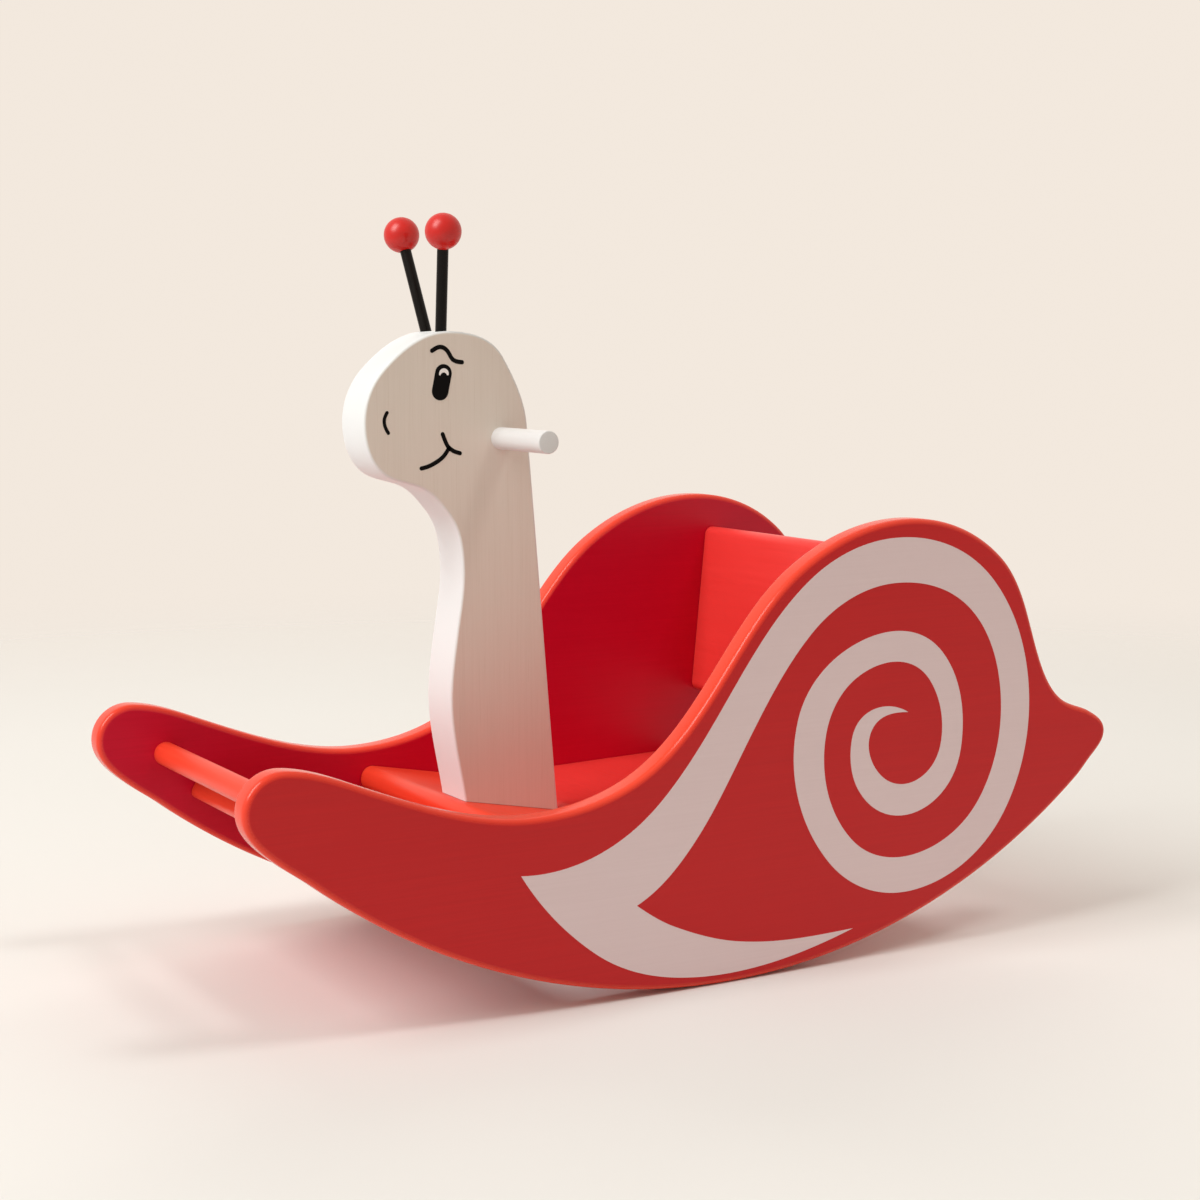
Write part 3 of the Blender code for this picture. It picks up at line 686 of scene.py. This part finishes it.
def painted_wood(name, tones, along, roughness, gloss=WOOD_GLOSS, grain_depth=PAINT_GRAIN_DEPTH,
                 rim_lit_tones=None, inner_shade_tones=None):
    """Opaque paint on wood: the grain shows as faint streaks in tone, roughness and relief.

    A panel's rim, which is also smoother, takes a lit, more orange copy of the red as painted light, and
    the face that looks at the seat takes a deeper crimson as painted shade.
    """
    material, tree, shader = new_material(name, gloss)
    streaks = noise(tree, PAINT_STREAKS, along)
    bands = noise(tree, PAINT_BANDS, along)
    clouds = noise(tree, PAINT_CLOUDS)
    skin = noise(tree, PAINT_SKIN)
    dark, light = tones
    # Painted shade: the inner face takes the deeper crimson tones.
    if inner_shade_tones is not None:
        dark, light = (mixed(tree, outer_share(tree), *pair) for pair in zip(inner_shade_tones, tones))
    base = blended(tree, streaks, 1.0, dark, light)
    base = blended(tree, bands, PAINT_BAND_SHARE, base, dark)
    base = blended(tree, clouds, PAINT_CLOUD_SHARE, base, light)
    dullness = ranged(tree, streaks, (roughness - PAINT_SPREAD, roughness + PAINT_SPREAD))
    if rim_lit_tones is not None:
        rim = rim_share(tree)
        dullness = worked_out(tree, "MULTIPLY", dullness, ranged(tree, rim, (1.0, RIM_SMOOTHNESS), WHOLE))
        # Painted light: the rim takes a lit, more orange copy of the red.
        base = mixed(tree, rim, base, blended(tree, clouds, 1.0, *rim_lit_tones))
    relief = bumped(tree, skin, PAINT_SKIN_DEPTH, bumped(tree, streaks, grain_depth))
    join_looks(tree, shader, base, dullness, relief)
    return material


def stained_wood(name):
    """Thin white stain on a plank whose grain runs upwards: fine pores and soft growth bands show through.

    The narrow sides of the plank get a paler, cooler tone as painted light, beside the faces' warmer,
    shaded tone.
    """
    material, tree, shader = new_material(name, WOOD_GLOSS)
    pores = noise(tree, STAIN_PORES)
    streaks = noise(tree, STAIN_STREAKS)
    bands = noise(tree, STAIN_BANDS)
    base = blended(tree, streaks, 1.0, HEAD_DARK, HEAD_LIGHT)
    base = blended(tree, bands, STAIN_BAND_SHARE, base, HEAD_LIGHT)
    base = mixed(tree, ranged(tree, pores, (STAIN_PORE_SHARE, 0.0), PORE_RANGE), base, HEAD_PORE)
    # Painted light: the narrow sides take the paler, cooler lit tone.
    base = mixed(tree, ranged(tree, rim_share(tree), (0.0, STAIN_EDGE_LIGHT_SHARE), WHOLE), base, HEAD_EDGE_LIT_TONE)
    relief = bumped(tree, pores, STAIN_PORE_DEPTH, bumped(tree, streaks, STAIN_STREAK_DEPTH))
    join_looks(tree, shader, base, ranged(tree, pores, STAIN_ROUGHNESS), relief)
    return material


def lacquer(name, tones, roughness):
    """Poured lacquer on a turned ball: almost even, with faint ripples."""
    material, tree, shader = new_material(name, LACQUER_GLOSS)
    clouds = noise(tree, LACQUER_CLOUDS)
    ripple = noise(tree, LACQUER_RIPPLE)
    dullness = ranged(tree, ripple, (roughness - LACQUER_SPREAD, roughness + LACQUER_SPREAD))
    join_looks(tree, shader, blended(tree, clouds, 1.0, *tones), dullness,
               bumped(tree, ripple, LACQUER_RIPPLE_DEPTH))
    return material


def bare_wood(name):
    """Bare beech with short dark flecks along the dowel."""
    material, tree, shader = new_material(name)
    streaks = noise(tree, BEECH_STREAKS, "Y")
    flecks = noise(tree, BEECH_FLECKS, "Y")
    base = blended(tree, streaks, 1.0, *BEECH_TONES)
    base = mixed(tree, ranged(tree, flecks, (0.0, BEECH_FLECK_SHARE), FLECK_RANGE), base, BEECH_FLECK)
    join_looks(tree, shader, base, ranged(tree, streaks, BEECH_ROUGHNESS),
               bumped(tree, streaks, BEECH_GRAIN_DEPTH))
    return material


def zinc_plate(name):
    """Bright zinc on a steel screw, with fine turning marks and a cloudy coat."""
    material, tree, shader = new_material(name)
    shader.inputs["Metallic"].default_value = 1.0
    clouds = noise(tree, ZINC_CLOUDS)
    marks = noise(tree, ZINC_MARKS)
    join_looks(tree, shader, blended(tree, clouds, 1.0, *ZINC_TONES), ranged(tree, clouds, ZINC_ROUGHNESS),
               bumped(tree, marks, ZINC_MARK_DEPTH))
    return material


# The panel's rim gets the bar's lit tones as painted light, and its inner face a deeper crimson as painted
# shade.
panel_red = painted_wood("panel red paint", PANEL_TONES, "X", roughness=0.36, gloss=0.32,
                         rim_lit_tones=BAR_LIT_TONES, inner_shade_tones=INNER_SHADE_TONES)
# Seat, backrest, bar, base and foot board take lit copies of the panel red: painted light.
seat_red = painted_wood("seat red paint", SEAT_LIT_TONES, "Y", roughness=0.40)
bar_red = painted_wood("bar red paint", BAR_LIT_TONES, "Y", roughness=0.38)
head_white = stained_wood("white stained head")
handle_white = painted_wood("white handle paint", HANDLE_TONES, "Y", roughness=0.42)
rod_black = painted_wood("black rod paint", BLACK_TONES, "Z", roughness=0.30, gloss=0.12)
ball_red = lacquer("red ball lacquer", BALL_TONES, roughness=0.34)
spiral_white = painted_wood("white spiral paint", PRINT_TONES, "X", roughness=0.46,
                            grain_depth=PRINT_GRAIN_DEPTH)
face_black = painted_wood("black face ink", INK_TONES, "Z", roughness=0.55, gloss=0.06,
                          grain_depth=INK_GRAIN_DEPTH)
glint_white = painted_wood("white glint ink", GLINT_TONES, "Z", roughness=0.46, grain_depth=INK_GRAIN_DEPTH)
beech = bare_wood("bare beech")
zinc = zinc_plate("zinc steel")


# Pieces

def placed(name, data):
    """A new object in the scene."""
    item = bpy.data.objects.new(name, data)
    bpy.context.scene.collection.objects.link(item)
    return item


def new_mesh(name, points, triangles, material):
    """A mesh of triangles in one material."""
    mesh = bpy.data.meshes.new(name)
    mesh.from_pydata(points.tolist(), [], triangles.tolist())
    mesh.materials.append(material)
    return mesh


def add_piece(name, shape, material, nodes=()):
    """An object from points, triangles and rim share. It rides on the one body and may replace nodes."""
    points, triangles, rims = shape
    mesh = new_mesh(name, points, triangles, material)
    mesh.attributes.new("rim", "FLOAT", "POINT").data.foreach_set("value", rims.astype(np.float32))
    mesh.polygons.foreach_set("use_smooth", np.ones(len(triangles), bool))
    mesh.set_sharp_from_angle(angle=math.radians(SHARP_ANGLE))
    mesh.update()
    piece = placed(name, mesh)
    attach(piece, "root")
    if nodes:
        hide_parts(*nodes)


def add_panels():
    """Both side panels and the spirals on their outer faces."""
    upper, lower = panel_chains()
    wood_y = PANEL_OUTER_Y - PRINT_LIFT
    edge = rounded_edge((wood_y - PANEL_INNER_Y) / 2, PANEL_ROUNDING)
    for side, sign in SIDES:
        shape = plank(upper, lower, edge, sign * (wood_y + PANEL_INNER_Y) / 2)
        add_piece(f"{side}_panel_wood", shape, panel_red, [f"{side}_side_panel"])
        add_piece(f"{side}_spiral", printed(spiral_edges(), wood_y, sign), spiral_white)


def add_boards():
    """Seat, base, backrest and foot board."""
    edge = rounded_edge(BOARD_LENGTH / 2, BOARD_END_ROUNDING, steps=2)
    for name, place in BOARDS.items():
        paint = seat_red if name in ("seat_board", "backrest_board") else bar_red
        add_piece(f"{name}_wood", plank(*board_chains(*place), edge, fill=12), paint, [name])


def add_head():
    """Neck and head, with the face drawn on both sides."""
    half = HEAD_THICKNESS / 2
    shape = plank(*neck_chains(), rounded_edge(half, HEAD_ROUNDING), capped=True)
    add_piece("neck_and_head_wood", shape, head_white, ["neck_and_head"])
    for side, sign in SIDES:
        for part, (anchors, width) in FACE_LINES.items():
            line = printed(line_edges(anchors, width), half, sign)
            add_piece(f"{side}_{part}", line, face_black)
        glint = printed(glint_edges(), half + PRINT_LIFT, sign, GLINT_LIFT)
        add_piece(f"{side}_glint", glint, glint_white)


def add_round_wood():
    """Front bar, handle, antenna rods and balls."""
    bar = cross_rod(BAR_PLACE, BAR_RADIUS, BAR_LENGTH, BAR_ROUNDING, steps=3)
    add_piece("front_bar_wood", bar, bar_red, ["front_bar"])
    handle = cross_rod(HANDLE_PLACE, HANDLE_RADIUS, HANDLE_LENGTH, HANDLE_ROUNDING, steps=6)
    add_piece("handle_wood", handle, handle_white, ["handle"])
    for side, sign in SIDES:
        mirror = np.array([1, sign, 1])
        root, direction = np.array(ROD_ROOT) * mirror, unit(np.array(ROD_DIRECTION) * mirror)
        profile = rod_profile(ROD_RADIUS, ROD_LENGTH, ROD_ROUNDING, steps=2)
        rod = turned(profile, root - ROD_SEAT * direction, direction, sides=40)
        add_piece(f"{side}_rod_wood", rod, rod_black, [f"{side}_antenna_rod"])
        ball = turned(ball_profile(), root + BALL_DISTANCE * direction, direction)
        add_piece(f"{side}_ball_wood", ball, ball_red, [f"{side}_antenna_ball"])


def finish_fastenings():
    """Beech on the dowels and zinc on the screws, which stay as they are in the frame."""
    for name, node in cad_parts.items():
        if "dowel" in name or "screw" in name:
            for slot in node.material_slots:
                slot.material = zinc if "screw" in name else beech


# Studio

# The photograph's camera: level, without shift, with its frame and lens in mm
CAMERA_PLACE = (1.0495, 1.7658, 0.5686)
CAMERA_RIGHT = (-0.86252, 0.50602, 0.0)
CAMERA_UP = (-0.06052, -0.10315, 0.99282)
CAMERA_BACK = (0.50239, 0.85633, 0.11959)
SENSOR_WIDTH = 36.0
LENS_LENGTH = 66.0
CLIP_RANGE = (0.05, 60.0)

# Floor and backdrop
FLOOR_RADIUS = 10.0
FLOOR_SIDES = 96
FLOOR_RINGS = 12
FLOOR_DROP = 0.0001
FLOOR_FADE = (1.2, 3.0)
FLOOR_CLOUD_TONE = 0.99
FLOOR_TONE = (0.754, 0.760, 0.752)
BACKDROP_TONE = (0.895, 0.812, 0.728)
AMBIENT_TONE = (0.397, 0.337, 0.277)

# Soft box: direction from the toy, distance, size, power and tint
KEY_FROM = (0.700, 0.06, 0.712)
KEY_DISTANCE = 9.0
KEY_SIZE = (4.0, 6.0)
KEY_POWER = 578.0
KEY_TONE = (1.0, 0.99, 0.96)

# Weaker lights: direction from the toy, strength, width in degrees and tint
SUN_DISTANCE = 4.0
SUNS = {
    "top light": ((-0.34, 0.32, 0.88), 0.60, 14.0, (1.0, 0.97, 0.93)),
    "rear light": ((-0.55, -0.74, 0.38), 1.25, 45.0, (1.0, 0.94, 0.86)),
    "front light": ((0.92, -0.12, 0.36), 0.56, 60.0, (0.97, 1.0, 1.02)),
}


def add_camera():
    """The photograph's view."""
    data = bpy.data.cameras.new("photo view")
    data.sensor_fit = "HORIZONTAL"
    data.sensor_width = SENSOR_WIDTH
    data.lens = LENS_LENGTH
    data.clip_start, data.clip_end = CLIP_RANGE
    camera = placed("photo view", data)
    rows = zip(CAMERA_RIGHT, CAMERA_UP, CAMERA_BACK, CAMERA_PLACE)
    camera.matrix_world = Matrix([*rows, (0, 0, 0, 1)])
    bpy.context.scene.camera = camera


def mix_shaders(tree, share, one, two, output):
    """Joins a mix of two shaders to an output."""
    mix = tree.nodes.new("ShaderNodeMixShader")
    for source, socket in zip((share, one, two), mix.inputs):
        tree.links.new(source, socket)
    tree.links.new(mix.outputs["Shader"], tree.nodes[output].inputs["Surface"])


def floor_material():
    """Pale paper that grows clear with the distance from the toy."""
    material, tree, shader = new_material("pale floor", FLOOR_GLOSS)
    shader.inputs["Roughness"].default_value = FLOOR_ROUGHNESS
    cloud_tone = tuple(FLOOR_CLOUD_TONE * part for part in FLOOR_TONE)
    paper = blended(tree, noise(tree, FLOOR_CLOUDS), 1.0, FLOOR_TONE, cloud_tone)
    tree.links.new(paper, shader.inputs["Base Color"])
    place = tree.nodes.new("ShaderNodeTexCoord")
    length = tree.nodes.new("ShaderNodeVectorMath")
    length.operation = "LENGTH"
    tree.links.new(place.outputs["Object"], length.inputs[0])
    fade = ranged(tree, length.outputs["Value"], WHOLE, FLOOR_FADE)
    fade.node.interpolation_type = "SMOOTHSTEP"
    clear = tree.nodes.new("ShaderNodeBsdfTransparent")
    mix_shaders(tree, fade, shader.outputs["BSDF"], clear.outputs["BSDF"], "Material Output")
    return material


def add_floor():
    """A round pale floor, R (cos a, sin a), whose far part melts into the backdrop."""
    angle = 2 * np.pi * np.arange(FLOOR_SIDES) / FLOOR_SIDES
    rings = np.linspace(0, FLOOR_RADIUS, FLOOR_RINGS)[:, None, None]
    ring = np.stack([np.cos(angle), np.sin(angle), np.zeros(FLOOR_SIDES)], axis=1)
    points, triangles, _ = welded((rings * ring).reshape(-1, 3), grid_quads(FLOOR_RINGS, FLOOR_SIDES, True))
    mesh = new_mesh("studio_floor", points - [0, 0, FLOOR_DROP], triangles, floor_material())
    floor = placed("studio_floor", mesh)


def add_backdrop():
    """World light: a dim warm fill, and the pale backdrop for what the camera and glossy faces see."""
    world = bpy.data.worlds.new("studio")
    world.use_nodes = True
    tree = world.node_tree
    fill = tree.nodes["Background"]
    fill.inputs["Color"].default_value = (*AMBIENT_TONE, 1.0)
    backdrop = tree.nodes.new("ShaderNodeBackground")
    backdrop.inputs["Color"].default_value = (*BACKDROP_TONE, 1.0)
    rays = tree.nodes.new("ShaderNodeLightPath")
    seen = rays.outputs["Is Camera Ray"]
    for name in ("Is Glossy Ray", "Is Transmission Ray"):
        seen = worked_out(tree, "MAXIMUM", seen, rays.outputs[name])
    mix_shaders(tree, seen, fill.outputs["Background"], backdrop.outputs["Background"], "World Output")
    bpy.context.scene.world = world


def add_lamp(data, source, distance, tone, mirrored=True):
    """Hangs a lamp in a direction from the toy, facing it. Glossy paint mirrors it or not."""
    data.color = tone
    lamp = placed(data.name, data)
    lamp.location = Vector(source).normalized() * distance
    lamp.rotation_mode = "QUATERNION"
    lamp.rotation_quaternion = Vector(source).to_track_quat("Z", "Y")
    lamp.visible_camera = False
    lamp.visible_glossy = mirrored


def add_lamps():
    """A wide soft box ahead of the nose, and weaker lights from above, from behind and from the front."""
    key = bpy.data.lights.new("key soft box", "AREA")
    key.shape = "RECTANGLE"
    key.size, key.size_y = KEY_SIZE
    key.energy = KEY_POWER
    add_lamp(key, KEY_FROM, KEY_DISTANCE, KEY_TONE)
    for name, (source, strength, width, tone) in SUNS.items():
        soft = bpy.data.lights.new(name, "SUN")
        soft.angle = math.radians(width)
        soft.energy = strength
        add_lamp(soft, source, SUN_DISTANCE, tone, mirrored=False)


bpy.context.scene.view_settings.view_transform = "Standard"
add_camera()
add_panels()
add_boards()
add_head()
add_round_wood()
finish_fastenings()
add_floor()
add_backdrop()
add_lamps()
